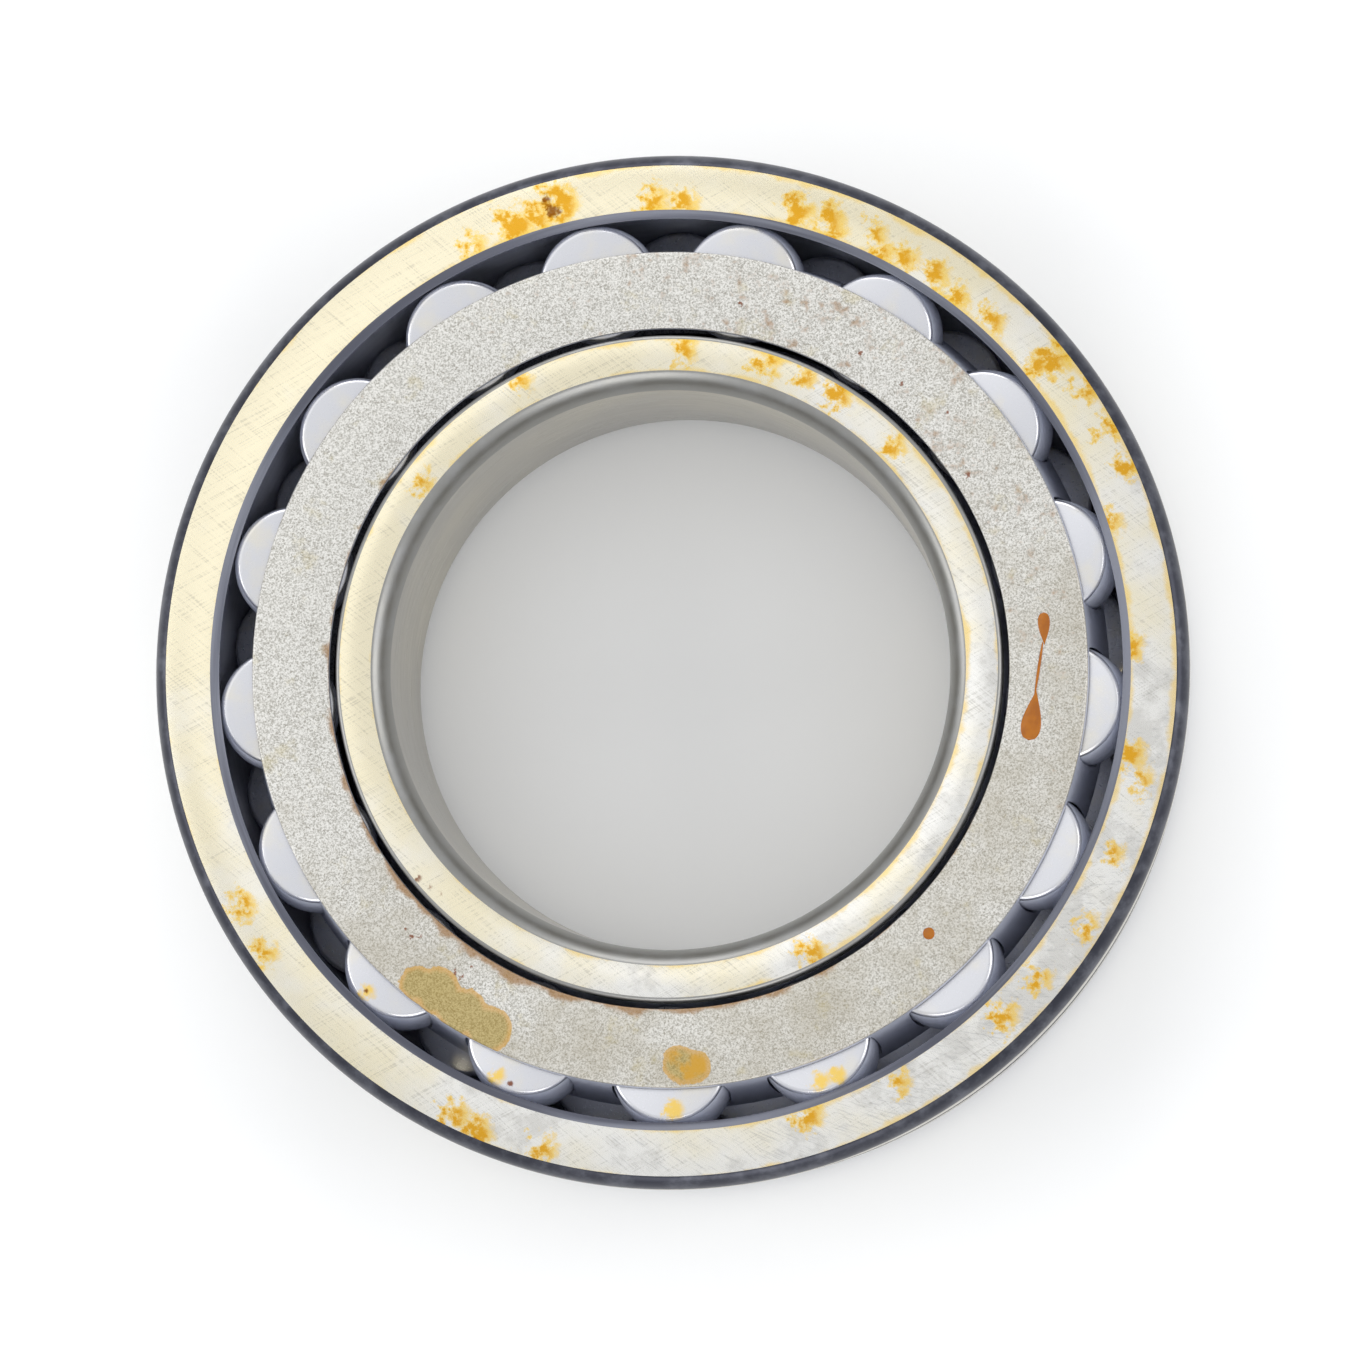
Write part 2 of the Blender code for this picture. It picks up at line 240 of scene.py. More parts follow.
# Standing drops: where the round end lies (x, y) and which way the point lies from straight up,
# in mm and degrees, then the width, the length, and how sharply it runs to its point
OIL_DROPS = (
    (43.3, 5.9, 181, 1.4 * MM, 3.8 * MM, 1.2),
    (41.5, -8.8, -9, 2.3 * MM, 6.0 * MM, 1.3),
    (43.2, 2.6, 171, 0.35 * MM, 6.6 * MM, 0.6),
    (30.0, -31.5, 0, 1.35 * MM, 1.4 * MM, 0.5),
)
DROP_HEIGHT = 0.16 * MM


# Materials


def feed(tree, node, inputs):
    """Set a node's inputs to values, sockets, or the first live output of other nodes."""
    for key, value in inputs.items():
        if isinstance(value, bpy.types.Node):
            value = next(socket for socket in value.outputs if socket.enabled)
        if isinstance(value, bpy.types.NodeSocket):
            tree.links.new(value, node.inputs[key])
        else:
            node.inputs[key].default_value = value


def add(tree, kind, *ordered, named=None, **settings):
    """Add a node with its settings, its first inputs in order, and others by name or number."""
    node = tree.nodes.new(f"ShaderNode{kind}")
    for name, value in settings.items():
        setattr(node, name, value)
    feed(tree, node, {**dict(enumerate(ordered)), **(named or {})})
    return node


def new_material(name):
    """An empty material, its tree, its shader, and a point's place on the piece in metres."""
    made = bpy.data.materials.new(name)
    made.use_nodes = True
    tree = made.node_tree
    return made, tree, tree.nodes["Principled BSDF"], add(tree, "TexCoord").outputs["Object"]


def patches(tree, where, across, soft=0.55):
    """Soft patches of a size across in metres, as a value round 0.5."""
    inputs = {"Vector": where, "Scale": 1 / across, "Detail": 4.0, "Roughness": soft}
    return add(tree, "TexNoise", named=inputs)


def tinted(tree, share, low, high, strength, under, over):
    """Lay one colour over another where a value rises from low to high."""
    cover = add(tree, "MapRange", share, low, high, 0.0, strength, interpolation_type="SMOOTHSTEP")
    return add(tree, "Mix", cover, named={6: under, 7: over}, data_type="RGBA")


def spot_depth(tree, where, spots, level, ragged, grain):
    """How deep inside the nearest of some spots a point is, in metres, with ragged edges."""
    wander = patches(tree, where, grain, 0.7)
    sway = 3 * ragged
    push = (sway, sway, 0.0)
    swayed = add(tree, "VectorMath", wander.outputs["Color"], push, where, operation="MULTIPLY_ADD")
    depth = None
    for x, y, radius in spots:
        centre = (x * MM + sway / 2, y * MM + sway / 2, level)
        gap = add(tree, "VectorMath", swayed, centre, operation="DISTANCE")
        inside = add(tree, "Math", radius * MM, gap, operation="SUBTRACT")
        if depth:
            inside = add(tree, "Math", depth, inside, 0.8 * MM, operation="SMOOTH_MAX")
        depth = inside
    return add(tree, "Math", wander.outputs[0], 2 * ragged, depth, operation="MULTIPLY_ADD")


def radius_of(tree, where):
    """A point's distance from the shaft's axis."""
    flat = add(tree, "VectorMath", where, (1, 1, 0), operation="MULTIPLY")
    return add(tree, "VectorMath", flat, operation="LENGTH")


def wiping_strokes(tree, where, away, pitch):
    """Short strokes across a ring's face, spaced round it by a pitch in metres."""
    parts = add(tree, "SeparateXYZ", where)
    turn = add(tree, "Math", parts.outputs["Y"], parts.outputs["X"], operation="ARCTAN2")
    along = add(tree, "Math", turn, away, operation="MULTIPLY")
    across = add(tree, "Math", away, 0.15, operation="MULTIPLY")
    return patches(tree, add(tree, "CombineXYZ", along, across, 0.0), pitch, 0.6)


def grinding_lines(tree, where, pitch, angle):
    """Straight lines of a pitch in metres, lying at an angle across the face."""
    turn = (0, 0, math.radians(angle))
    lay = add(tree, "Mapping", where, (0, 0, 0), turn, (40.0, 1.0, 40.0), vector_type="TEXTURE")
    return patches(tree, lay, pitch, 0.5)


def ground_steel(finish, name, inner, outer, spots, rust_spots):
    """Ground bearing steel: bright and close-lined, creamy under a drying film of oil.

    The film is thickest towards the upper left, gold where it has crept along the edges of the
    face, and brown where it is thick. Towards the lower right it has been wiped off, which leaves
    grey rubbing marks and short strokes. The grinding lines are really 0.02 mm apart and are drawn
    at 0.15 mm, and the strokes, really 0.1 mm wide, at 0.3 mm.
    """
    made, tree, shader, where = new_material(name)
    away = radius_of(tree, where)
    lines = [grinding_lines(tree, where, 0.15 * MM, angle) for angle in (28, -41)]
    lines = add(tree, "Math", *lines, operation="ADD")
    lean = add(tree, "VectorMath", where, (-2.4, 2.4, 0.0), operation="DOT_PRODUCT")
    film = add(tree, "Math", patches(tree, where, 14 * MM), lean, operation="ADD")
    shade = tinted(tree, film, 0.3, 0.62, 0.95, finish.ground[:], finish.cream[:])
    rubbed = add(tree, "Math", patches(tree, where, 4 * MM, 0.7), film, operation="SUBTRACT")
    shade = tinted(tree, rubbed, 0.12, 0.34, 0.55, shade, finish.rubbed[:])
    lean = add(tree, "VectorMath", where, (1.6, -2.4, 0.0), operation="DOT_PRODUCT")
    strokes = wiping_strokes(tree, where, away, 0.3 * MM)
    strokes = add(tree, "Math", strokes, lean, operation="ADD")
    shade = tinted(tree, strokes, 0.66, 0.84, 0.35, shade, finish.smudge[:])
    shade = tinted(tree, lines, 1.06, 1.26, 0.35, shade, finish.grain[:])
    # How far the film has crept in from the edges, more in some places than in others
    creep = patches(tree, where, 7 * MM, 0.7)
    creep = add(tree, "Math", creep, 3.0 * MM, -1.45 * MM, operation="MULTIPLY_ADD")
    lean = add(tree, "VectorMath", where, (0.007, 0.002, 0.0), operation="DOT_PRODUCT")
    creep = add(tree, "Math", creep, lean, operation="ADD")
    for edge, side in ((outer, -1), (inner, 1)):
        gap = add(tree, "Math", away, side, -side * edge, operation="MULTIPLY_ADD")
        crept = add(tree, "Math", creep, gap, operation="SUBTRACT")
        shade = tinted(tree, crept, -0.3 * MM, 0.4 * MM, 0.55, shade, finish.gold[:])
    stain = spot_depth(tree, where, spots, HALF_WIDTH, 2.2 * MM, 1.6 * MM)
    shade = tinted(tree, stain, 1.0 * MM, 2.2 * MM, 0.75, shade, finish.gold[:])
    shade = tinted(tree, stain, 2.0 * MM, 2.9 * MM, 0.9, shade, finish.amber[:])
    rust = spot_depth(tree, where, rust_spots, HALF_WIDTH, 0.5 * MM, 0.8 * MM)
    shade = tinted(tree, rust, 0.3 * MM, 0.8 * MM, 0.85, shade, finish.rust[:])
    bump = add(tree, "Bump", named={"Strength": 0.3, "Distance": 0.01 * MM, "Height": lines})
    dull = add(tree, "Math", lines, 0.12, 0.16, operation="MULTIPLY_ADD")
    feed(tree, shader, {"Base Color": shade, "Roughness": dull, "Metallic": 1.0, "Normal": bump})
    return made


def seat_steel(finish):
    """Ground steel of the bore and the outside: a close satin under a thin even film of oil.

    The grinding lines run round the ring, really 0.02 mm apart and drawn at 0.3 mm to show.
    """
    made, tree, shader, where = new_material("ground_seat_steel")
    rings = add(tree, "Mapping", where, (0, 0, 0), (0, 0, 0), AROUND, vector_type="TEXTURE")
    lines = patches(tree, rings, 0.3 * MM)
    film = patches(tree, where, 25 * MM, 0.4)
    shade = tinted(tree, film, 0.35, 0.75, 0.3, finish.seat[:], finish.cream[:])
    shade = tinted(tree, lines, 0.45, 0.75, 0.25, shade, finish.grain[:])
    bump = add(tree, "Bump", named={"Strength": 0.2, "Distance": 0.01 * MM, "Height": lines})
    dull = add(tree, "Math", lines, 0.2, 0.2, operation="MULTIPLY_ADD")
    feed(tree, shader, {"Base Color": shade, "Roughness": dull, "Metallic": 1.0, "Normal": bump})
    return made


def hardened_skin(finish, name, tone):
    """Steel left as hardened and never ground: nearly black, satin, with a bluish cast."""
    made, tree, shader, where = new_material(name)
    mottle = patches(tree, where, 3 * MM, 0.65)
    # The scale's grain, really about 0.05 mm, is drawn at 0.3 mm to show
    grain = patches(tree, where, 0.3 * MM)
    shade = tinted(tree, mottle, 0.4, 0.8, 0.14, tone[:], finish.honed[:])
    bump = add(tree, "Bump", named={"Strength": 0.3, "Distance": 0.02 * MM, "Height": grain})
    dull = add(tree, "Math", mottle, 0.25, 0.22, operation="MULTIPLY_ADD")
    feed(tree, shader, {"Base Color": shade, "Roughness": dull, "Metallic": 0.8, "Normal": bump})
    return made


def roller_steel(finish):
    """Lapped roller steel: an even, bright satin, with a smear of old oil here and there."""
    made, tree, shader, where = new_material("lapped_roller_steel")
    smear = patches(tree, where, 5 * MM)
    # Lapping leaves lines under 0.01 mm apart, drawn at 0.2 mm to show
    lay = patches(tree, where, 0.2 * MM, 0.5)
    shade = tinted(tree, smear, 0.45, 0.75, 0.4, finish.roller[:], finish.cream[:])
    stain = spot_depth(tree, where, ROLLER_STAINS, ROLLER_LEVEL, 0.9 * MM, 1.2 * MM)
    shade = tinted(tree, stain, 0.3 * MM, 1.3 * MM, 0.85, shade, finish.gold[:])
    rust = spot_depth(tree, where, ROLLER_RUST, ROLLER_LEVEL, 0.2 * MM, 0.5 * MM)
    shade = tinted(tree, rust, 0.15 * MM, 0.4 * MM, 0.9, shade, finish.rust[:])
    dull = add(tree, "Math", lay, 0.15, 0.22, operation="MULTIPLY_ADD")
    feed(tree, shader, {"Base Color": shade, "Roughness": dull, "Metallic": 1.0})
    return made


def gap_steel_with_painted_light(finish, name, tone, streak, metallic):
    """Steel down in the gap between the rings: a blue-grey satin whose pale tone is painted light,
    lifting the gap out of its shade.

    It shows soft streaks in the direction that its maker drew or ground it.
    """
    made, tree, shader, where = new_material(name)
    lay = add(tree, "Mapping", where, (0, 0, 0), (0, 0, 0), streak, vector_type="TEXTURE")
    streaks = patches(tree, lay, 1.2 * MM)
    # Painted light: the pale tone lifts the gap out of its shade; the streaks are the steel's own
    # lay
    shade = tinted(tree, streaks, 0.35, 0.7, 0.3, tone[:], finish.honed[:])
    dull = add(tree, "Math", streaks, 0.25, 0.25, operation="MULTIPLY_ADD")
    feed(tree, shader, {"Base Color": shade, "Roughness": dull, "Metallic": metallic})
    return made


def flange_steel(finish):
    """Blasted and phosphated sheet steel: matt with a sparkling grain, olive where oil soaked in.

    The grain is really about 0.1 mm and is drawn at 0.2 mm to show.
    """
    made, tree, shader, where = new_material("phosphated_flange_steel")
    grain = patches(tree, where, 0.2 * MM, 0.75)
    shade = tinted(tree, grain, 0.34, 0.6, 1.0, finish.grain[:], finish.flange[:])
    olive = tinted(tree, grain, 0.35, 0.62, 1.0, finish.sunk[:], finish.wet[:])
    golden = tinted(tree, patches(tree, where, 2.5 * MM), 0.4, 0.6, 1.0, finish.pool[:], olive)
    # Oil has soaked in broadly towards the bottom, and in tongues from the outer edge
    lean = add(tree, "VectorMath", where, (2.0, -4.2, 0.0), operation="DOT_PRODUCT")
    soak = add(tree, "Math", patches(tree, where, 10 * MM, 0.65), lean, operation="ADD")
    shade = tinted(tree, soak, 0.4, 0.9, 0.5, shade, finish.soaked[:])
    tongues = patches(tree, where, 4 * MM, 0.7)
    shade = tinted(tree, tongues, 0.56, 0.72, 0.35, shade, finish.wet[:])
    # Towards the upper right it is scuffed and rusty
    lean = add(tree, "VectorMath", where, (1.8, 2.4, 0.0), operation="DOT_PRODUCT")
    scuffs = add(tree, "Math", patches(tree, where, 1.6 * MM, 0.7), lean, operation="ADD")
    shade = tinted(tree, scuffs, 0.67, 0.84, 0.55, shade, finish.rim[:])
    # Brown oil dried along the edge next to the inner ring
    away = radius_of(tree, where)
    creep = patches(tree, where, 4 * MM)
    creep = add(tree, "Math", creep, 4.0 * MM, FLANGE_BORE - 2.3 * MM, operation="MULTIPLY_ADD")
    lean = add(tree, "VectorMath", where, (-0.014, -0.02, 0.0), operation="DOT_PRODUCT")
    creep = add(tree, "Math", creep, lean, operation="ADD")
    creep = add(tree, "Math", creep, away, operation="SUBTRACT")
    shade = tinted(tree, creep, -0.2 * MM, 0.5 * MM, 0.7, shade, finish.rim[:])
    for pools, tone in ((OLIVE_POOLS, olive), (GOLD_POOLS, golden)):
        pool = spot_depth(tree, where, pools, HALF_WIDTH, 0.5 * MM, 3.5 * MM)
        shade = tinted(tree, pool, 0.45 * MM, 0.6 * MM, 0.7, shade, finish.pool[:])
        shade = tinted(tree, pool, 0.7 * MM, 1.3 * MM, 0.8, shade, tone)
    flecks = spot_depth(tree, where, FLANGE_FLECKS, HALF_WIDTH, 0.5 * MM, 0.7 * MM)
    shade = tinted(tree, flecks, 0.35 * MM, 0.5 * MM, 0.85, shade, finish.rust[:])
    bump = add(tree, "Bump", named={"Strength": 0.5, "Distance": 0.04 * MM, "Height": grain})
    dull = add(tree, "Math", grain, 0.2, 0.38, operation="MULTIPLY_ADD")
    feed(tree, shader, {"Base Color": shade, "Roughness": dull, "Metallic": 0.7, "Normal": bump})
    return made


def guide_iron(finish):
    """Turned sintered iron: dark grey, with open pores about 0.2 mm across."""
    made, tree, shader, where = new_material("sintered_iron")
    pores = patches(tree, where, 0.2 * MM, 0.7)
    shade = tinted(tree, pores, 0.35, 0.6, 0.6, finish.skin[:], finish.iron[:])
    bump = add(tree, "Bump", named={"Strength": 0.5, "Distance": 0.03 * MM, "Height": pores})
    dull = add(tree, "Math", pores, 0.3, 0.3, operation="MULTIPLY_ADD")
    feed(tree, shader, {"Base Color": shade, "Roughness": dull, "Metallic": 0.9, "Normal": bump})
    return made


def standing_oil(finish):
    """Thick amber preserving oil: glossy, brown where a drop is deepest."""
    made, tree, shader, where = new_material("amber_preserving_oil")
    depth = patches(tree, where, 1.2 * MM)
    shade = tinted(tree, depth, 0.35, 0.7, 0.4, finish.oil[:], finish.rust[:])
    feed(tree, shader, {"Base Color": shade, "Roughness": 0.15, "IOR": 1.47})
    return made


# Modelling


def deselect():
    """Leave edit mode and select nothing."""
    if bpy.context.mode != "OBJECT":
        bpy.ops.object.mode_set(mode="OBJECT")
    bpy.ops.object.select_all(action="DESELECT")


def make_active(obj):
    """Select one object and make it active."""
    deselect()
    obj.select_set(True)
    bpy.context.view_layer.objects.active = obj


def select_in_edit_mode(obj, kind, test):
    """Select the vertices or faces of the mesh being edited that pass a test."""
    bpy.ops.mesh.select_mode(type="VERT" if kind == "verts" else "FACE")
    bpy.ops.mesh.select_all(action="DESELECT")
    shape = bmesh.from_edit_mesh(obj.data)
    for part in getattr(shape, kind):
        if test(part):
            part.select_set(True)
    shape.select_flush_mode()
    bmesh.update_edit_mesh(obj.data)


def draw_outline(name, outline, closed):
    """Draw (radius, height) points in the XZ plane, extruding a vertex from each to the next."""
    deselect()
    radius, height = outline[0]
    bpy.ops.mesh.primitive_plane_add(size=MM, location=(0, 0, 0))
    obj = bpy.context.active_object
    obj.name = name
    obj.data.name = name
    bpy.ops.object.mode_set(mode="EDIT")
    bpy.ops.mesh.select_mode(type="VERT")
    bpy.ops.mesh.merge(type="CENTER")
    bpy.ops.transform.translate(value=(radius, 0, height))
    for start, end in zip(outline, outline[1:]):
        step = (end[0] - start[0], 0, end[1] - start[1])
        bpy.ops.mesh.extrude_vertices_move(TRANSFORM_OT_translate={"value": step})
    if closed:
        last = len(outline) - 1
        select_in_edit_mode(obj, "verts", lambda v: v.index in (0, last))
        bpy.ops.mesh.edge_face_add()
    return obj


def turn_round(obj, segments):
    """Spin the drawn outline round Z into a closed body, with its faces out."""
    bpy.ops.mesh.select_all(action="SELECT")
    bpy.ops.mesh.spin(steps=segments, angle=2 * math.pi, center=(0, 0, 0), axis=(0, 0, 1))
    bpy.ops.mesh.select_all(action="SELECT")
    bpy.ops.mesh.remove_doubles(threshold=MERGE)
    bpy.ops.mesh.normals_make_consistent(inside=False)
    bpy.ops.object.mode_set(mode="OBJECT")
    return obj


def turned(name, outline, segments, closed=True):
    """A turned piece."""
    return turn_round(draw_outline(name, outline, closed), segments)


def give_materials(obj, body_material, *others):
    """Give a piece its main material, and others to faces whose (radius, height) pass a test."""
    make_active(obj)
    obj.data.materials.append(body_material)
    bpy.ops.object.mode_set(mode="EDIT")
    for material, test in others:
        obj.data.materials.append(material)
        obj.active_material_index = len(obj.data.materials) - 1

        def passes(face):
            middle = face.calc_center_median()
            return test(middle.xy.length, abs(middle.z))

        select_in_edit_mode(obj, "faces", passes)
        bpy.ops.object.material_slot_assign()
    bpy.ops.object.mode_set(mode="OBJECT")


def cut(obj, cutter):
    """Cut a shape out of a piece."""
    make_active(obj)
    boolean = obj.modifiers.new("Cut", "BOOLEAN")
    boolean.operation = "DIFFERENCE"
    boolean.object = cutter
    bpy.ops.object.modifier_apply(modifier="Cut")
    bpy.data.objects.remove(cutter)


def smooth(obj, degrees=32):
    """Shade smooth, with the real edges crisp."""
    make_active(obj)
    bpy.ops.object.shade_smooth_by_angle(angle=math.radians(degrees))


def stand_for(obj, node, body):
    """The piece stands for a CAD node and moves with its body."""
    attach(obj, body)
    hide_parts(node)


def copy_placed(source, name, matrix):
    """A copy with its own mesh, moved to its place in the mesh."""
    copy = source.copy()
    copy.data = source.data.copy()
    copy.name = name
    copy.data.name = name
    copy.data.transform(matrix)
    bpy.context.collection.objects.link(copy)
    return copy


def join(pieces, name):
    """Join pieces into one object."""
    deselect()
    for piece in pieces:
        piece.select_set(True)
    bpy.context.view_layer.objects.active = pieces[0]
    bpy.ops.object.join()
    pieces[0].name = name
    return pieces[0]


def spaced(start, end, steps):
    """Evenly spaced values from start to end."""
    return [start + (end - start) * i / steps for i in range(steps + 1)]


def quarter(radius, height, radial, axial, steps=8, start=0.0):
    """A corner's points from a face to a cylinder; its signed sizes point into the metal.

    A start angle leaves a crisp edge where the corner meets the face.
    """
    turns = spaced(start, math.pi / 2, steps)
    return [
        (
            radius + radial * (1 - math.sin(turn)) / (1 - math.sin(start)),
            height + axial * (1 - math.cos(turn) / math.cos(start)),
        )
        for turn in turns
    ]


def below(outline):
    """The same points on the other side of the middle plane."""
    return [(radius, -height) for radius, height in outline]


def row_point(rise, along):
    """The (radius, height) of a point in the front row's own plane."""
    radius = PITCH_RADIUS + rise * math.cos(LEAN) - along * math.sin(LEAN)
    height = ROW_HEIGHT + rise * math.sin(LEAN) + along * math.cos(LEAN)
    return radius, height


def wall_point(rise, height):
    """The (radius, height) at which a wall parallel to the rollers' axes has a height."""
    return row_point(rise, (height - ROW_HEIGHT - rise * math.sin(LEAN)) / math.cos(LEAN))


def crown_drop(along, curve):
    """How far a barrel's curve falls away from its middle."""
    return curve - math.sqrt(curve**2 - along**2)


def roller_outline(rows, growth=0.0, steps=14):
    """A barrel roller's outline about its own axis, grown all round for its pocket."""
    half = rows.roller_length / 2 + growth
    side = rows.roller + growth
    corner = rows.roller_corner
    barrel = [
        (side - crown_drop(along, rows.crown), along)
        for along in spaced(half - corner, corner - half, steps)
    ]
    end = quarter(barrel[0][0], half, -corner, -corner, 5)
    outline = [(0, half), *end[:-1], *barrel]
    return [*outline, *reversed(below(outline[:-1])[: len(end)])]


def upright(body):
    """The matrix that carries a roller from the Z axis to its own place."""
    middle, axis = roller_axis(body)
    outwards = Vector((middle.x, middle.y, 0)).normalized()
    side = axis.cross(outwards).normalized()
    turn = Matrix((side.cross(axis), side, axis)).transposed().to_4x4()
    return Matrix.Translation(middle) @ turn


# Operators


class BEARING_OT_outer_ring(Operator):
    """Model the outer ring with its spherical raceway, oil groove and oil holes"""

    bl_idname = "bearing.outer_ring"
    bl_label = "Outer ring"

    def execute(self, context):
        rings = context.scene.bearing_rings
        finish = context.scene.bearing_finish
        corner = quarter(
            OUTER_RADIUS, HALF_WIDTH, -rings.corner_radial, -rings.corner_axial, 10, CRISP
        )
        face_edge = corner[0][0]
        groove_half = rings.groove_floor / 2
        groove_top = groove_half + rings.groove_depth
        floor = OUTER_RADIUS - rings.groove_depth
        groove = [(OUTER_RADIUS, groove_top), (floor, groove_half)]
        outside = [*corner, *groove]
        edge_angle = math.asin((HALF_WIDTH - rings.chamfer) / rings.raceway)
        raceway = [
            (rings.raceway * math.cos(turn), rings.raceway * math.sin(turn))
            for turn in spaced(-edge_angle, edge_angle, 28)
        ]
        inner_edge = raceway[0][0] + rings.chamfer
        outline = [
            *outside,
            *reversed(below(outside)),
            (inner_edge, -HALF_WIDTH),
            *raceway,
            (inner_edge, HALF_WIDTH),
        ]
        ring = turned("ground_outer_ring", outline, rings.segments)
        deselect()
        drills = []
        middle = (rings.raceway + OUTER_RADIUS) / 2
        for index in range(rings.oil_holes):
            turn = index * 2 * math.pi / rings.oil_holes
            bpy.ops.mesh.primitive_cylinder_add(
                vertices=48,
                radius=rings.oil_hole,
                depth=(OUTER_RADIUS - rings.raceway) * 1.6,
                location=(middle * math.cos(turn), middle * math.sin(turn), 0),
                rotation=(0, math.pi / 2, turn),
            )
            drills.append(context.active_object)
        cut(ring, join(drills, "oil_drills"))
        ground = ground_steel(
            finish, "ground_outer_ring_steel", inner_edge, face_edge, OUTER_STAINS, OUTER_RUST
        )
        skin = hardened_skin(finish, "hardened_outer_skin", finish.skin)
        give_materials(
            ring,
            ground,
            (skin, lambda r, z: r > face_edge and z > HALF_WIDTH - rings.corner_axial),
            (skin, lambda r, z: r > floor - NEAR and z < groove_top),
            (seat_steel(finish), lambda r, z: r > OUTER_RADIUS - NEAR * 10 and z > groove_top),
            # Painted light: the chamfer's and the raceway's pale tones lift them out of the shade
            # in the gap
            (
                gap_steel_with_painted_light(finish, "turned_chamfer_steel", finish.chamfer, AROUND, 0.4),
                lambda r, z: r < inner_edge and z > HALF_WIDTH - rings.chamfer,
            ),
            (
                gap_steel_with_painted_light(finish, "honed_raceway_steel", finish.barrel, AROUND, 0.15),
                lambda r, z: r < rings.raceway + NEAR and z < HALF_WIDTH - rings.chamfer,
            ),
        )
        smooth(ring, 40)
        stand_for(ring, "outer_ring", "outer_ring")
        return {"FINISHED"}


class BEARING_OT_inner_ring(Operator):
    """Model the inner ring with its bore, two raceways and low rib"""

    bl_idname = "bearing.inner_ring"
    bl_label = "Inner ring"

    def execute(self, context):
        rings = context.scene.bearing_rings
        rows = context.scene.bearing_rows
        finish = context.scene.bearing_finish
        end = rows.roller_length / 2 + rows.runout
        curve = rows.crown + rows.clearance
        raceway = [
            row_point(crown_drop(along, curve) - rows.roller - rows.clearance, along)
            for along in spaced(end, -end, 14)
        ]
        edge = 0.5 * MM
        shoulder = quarter(rings.shoulder, HALF_WIDTH, -edge, -edge, 4)
        step = raceway[0][0] - rings.shoulder
        outside = [*shoulder, (rings.shoulder, raceway[0][1] + step), *raceway]
        corner = quarter(
            BORE_RADIUS, HALF_WIDTH, rings.bore_radial, -rings.bore_axial, 10, CRISP
        )
        outline = [*outside, *reversed(below(outside)), *below(corner), *reversed(corner)]
        ring = turned("ground_inner_ring", outline, rings.segments)
        face_edge = BORE_RADIUS + rings.bore_radial
        ground = ground_steel(
            finish,
            "ground_inner_ring_steel",
            face_edge,
            rings.shoulder - edge,
            INNER_STAINS,
            INNER_RUST,
        )
        skin = hardened_skin(finish, "hardened_bore_skin", finish.worn_skin)
        corner_floor = HALF_WIDTH - rings.bore_axial
        give_materials(
            ring,
            ground,
            (seat_steel(finish), lambda r, z: r < BORE_RADIUS + NEAR),
            (skin, lambda r, z: BORE_RADIUS + NEAR < r < face_edge and z > corner_floor),
            (skin, lambda r, z: r > rings.shoulder - edge + NEAR and z > raceway[0][1]),
            # Painted light: the raceway's pale tone lifts it out of the shade under the cage's
            # flange
            (
                gap_steel_with_painted_light(finish, "honed_inner_raceway_steel", finish.barrel, AROUND, 0.15),
                lambda r, z: r > rings.shoulder and z < raceway[0][1],
            ),
        )
        smooth(ring, 40)
        stand_for(ring, "inner_ring", "inner_ring")
        return {"FINISHED"}


class BEARING_OT_guide_ring(Operator):
    """Model the loose guide ring between the rows"""

    bl_idname = "bearing.guide_ring"
    bl_label = "Guide ring"

    def execute(self, context):
        finish = context.scene.bearing_finish
        edge = 0.15 * MM
        outer = quarter(GUIDE_RADIUS, GUIDE_HALF, -edge, -edge, 3)
        inner_half = GUIDE_HALF - (GUIDE_RADIUS - GUIDE_BORE) * math.tan(LEAN)
        inner = quarter(GUIDE_BORE, inner_half, edge, -edge, 3)
        outline = [*outer, *reversed(below(outer)), *below(inner), *reversed(inner)]
        ring = turned("loose_guide_ring", outline, context.scene.bearing_rings.segments)
        give_materials(ring, guide_iron(finish))
        smooth(ring)
        stand_for(ring, "guide_ring", "guide_ring")
        return {"FINISHED"}


class BEARING_OT_cages(Operator):
    """Model the two pressed cages, with a pocket for each roller"""

    bl_idname = "bearing.cages"
    bl_label = "Cages"

    def execute(self, context):
        rows = context.scene.bearing_rows
        finish = context.scene.bearing_finish
        outer_rise = rows.rise + rows.sheet
        underside = FLANGE_TOP - rows.sheet
        bend_radius = wall_point(outer_rise, FLANGE_TOP - rows.bend)[0]
        lip = 0.2 * MM
        outline = [
            *quarter(bend_radius, FLANGE_TOP, -rows.bend, -rows.bend, 6),
            wall_point(outer_rise, rows.rim),
            wall_point(rows.rise, rows.rim),
            wall_point(rows.rise, underside),
            (FLANGE_BORE + lip, underside),
            (FLANGE_BORE, underside + lip),
            *reversed(quarter(FLANGE_BORE, FLANGE_TOP, lip, -lip, 3)),
        ]
        flange = flange_steel(finish)
        # Painted light: the wall's pale tone lifts it out of the shade between the rollers
        wall = gap_steel_with_painted_light(finish, "drawn_wall_steel", finish.wall, DOWN, 0.15)
        for row in ("front", "back"):
            shape = outline if row == "front" else below(outline)
            cage = turned(f"pressed_cage_{row}", shape, context.scene.bearing_rings.segments)
            pocket = turned("pocket", roller_outline(rows, rows.pocket, 6), 48, closed=False)
            pockets = [
                copy_placed(pocket, f"pocket_{body}", upright(body)) for body in row_bodies(row)
            ]
            bpy.data.objects.remove(pocket)
            cut(cage, join(pockets, "pockets"))
            give_materials(cage, flange, (wall, lambda r, z: z < FLANGE_TOP - rows.bend))
            smooth(cage)
            stand_for(cage, f"cage_{row}", f"cage_{row}")
        return {"FINISHED"}


